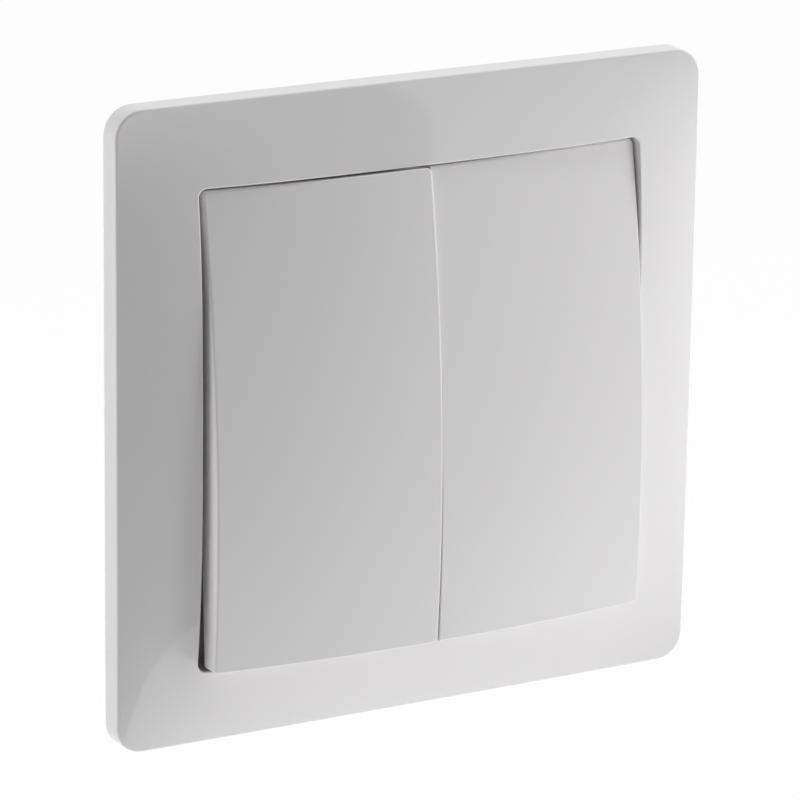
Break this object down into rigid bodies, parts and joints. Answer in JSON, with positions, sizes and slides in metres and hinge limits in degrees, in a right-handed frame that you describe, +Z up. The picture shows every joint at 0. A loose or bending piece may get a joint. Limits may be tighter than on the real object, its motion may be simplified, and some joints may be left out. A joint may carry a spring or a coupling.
{
  "type": "double rocker light switch",
  "caption": "Square flush wall switch with a pillow-shaped white cover frame and side-by-side crowned rockers, each tilting on trunnions to throw a sprung seesaw contact.",
  "frame": {"origin": "centre of the switch on the wall plane, midway between the box screw slots", "axes": "+Z up, +X to the right seen from the front, +Y into the wall; the rockers face -Y"},
  "size_m": [0.082, 0.0352, 0.082],
  "materials": {
    "frame_plastic": "gloss moulded",
    "rocker_plastic": "satin moulded",
    "cover_plastic": "moulded",
    "base_plastic": "moulded",
    "cradle_plastic": "moulded",
    "plunger_plastic": "moulded",
    "strap_steel": "zinc plated",
    "screw_steel": "zinc plated",
    "spring_steel": "drawn wire",
    "brass": "stamped",
    "rivet_brass": "upset",
    "copper": "stamped",
    "silver": "pressed"
  },
  "bodies": {
    "switch_body": {"cover_frame": "frame_plastic", "support_strap": "strap_steel", "mechanism_base": "base_plastic", "mechanism_cover": "cover_plastic", "common_contact": "brass", "terminal_screws": "screw_steel", "housing_rivets": "rivet_brass", "left_load_contact": "brass", "right_load_contact": "brass", "left_fixed_tip": "silver", "right_fixed_tip": "silver"},
    "left_rocker_unit": {"left_rocker": "rocker_plastic", "left_cradle": "cradle_plastic", "left_plunger_spring": "spring_steel"},
    "left_plunger_pin": {"left_plunger": "plunger_plastic"},
    "left_seesaw": {"left_moving_contact": "copper", "left_moving_tip": "silver"},
    "right_rocker_unit": {"right_rocker": "rocker_plastic", "right_cradle": "cradle_plastic", "right_plunger_spring": "spring_steel"},
    "right_plunger_pin": {"right_plunger": "plunger_plastic"},
    "right_seesaw": {"right_moving_contact": "copper", "right_moving_tip": "silver"}
  },
  "joints": [
    {"name": "left_rock", "type": "hinge", "parent": "switch_body", "child": "left_rocker_unit", "pos_m": [-0.012, -0.0044, 0], "axis": [1, 0, 0], "range_deg": [0, 8]},
    {"name": "left_seesaw_tilt", "type": "hinge", "parent": "switch_body", "child": "left_seesaw", "pos_m": [-0.012, 0.01315, 0], "axis": [1, 0, 0], "range_deg": [-10, 0]},
    {"name": "left_plunger_slide", "type": "slide", "parent": "left_rocker_unit", "child": "left_plunger_pin", "axis": [0, -0.9976, 0.0698], "range_m": [0, 0.0004], "stiffness_N_per_m": 250, "springref_m": -0.003},
    {"name": "right_rock", "type": "hinge", "parent": "switch_body", "child": "right_rocker_unit", "pos_m": [0.012, -0.0044, 0], "axis": [1, 0, 0], "range_deg": [0, 8]},
    {"name": "right_seesaw_tilt", "type": "hinge", "parent": "switch_body", "child": "right_seesaw", "pos_m": [0.012, 0.01315, 0], "axis": [1, 0, 0], "range_deg": [-10, 0]},
    {"name": "right_plunger_slide", "type": "slide", "parent": "right_rocker_unit", "child": "right_plunger_pin", "axis": [0, -0.9976, 0.0698], "range_m": [0, 0.0004], "stiffness_N_per_m": 250, "springref_m": -0.003}
  ],
  "couplings": [
    {"joint": "left_seesaw_tilt", "follows": "left_rock", "ratio": -1.25},
    {"joint": "right_seesaw_tilt", "follows": "right_rock", "ratio": -1.25}
  ]
}
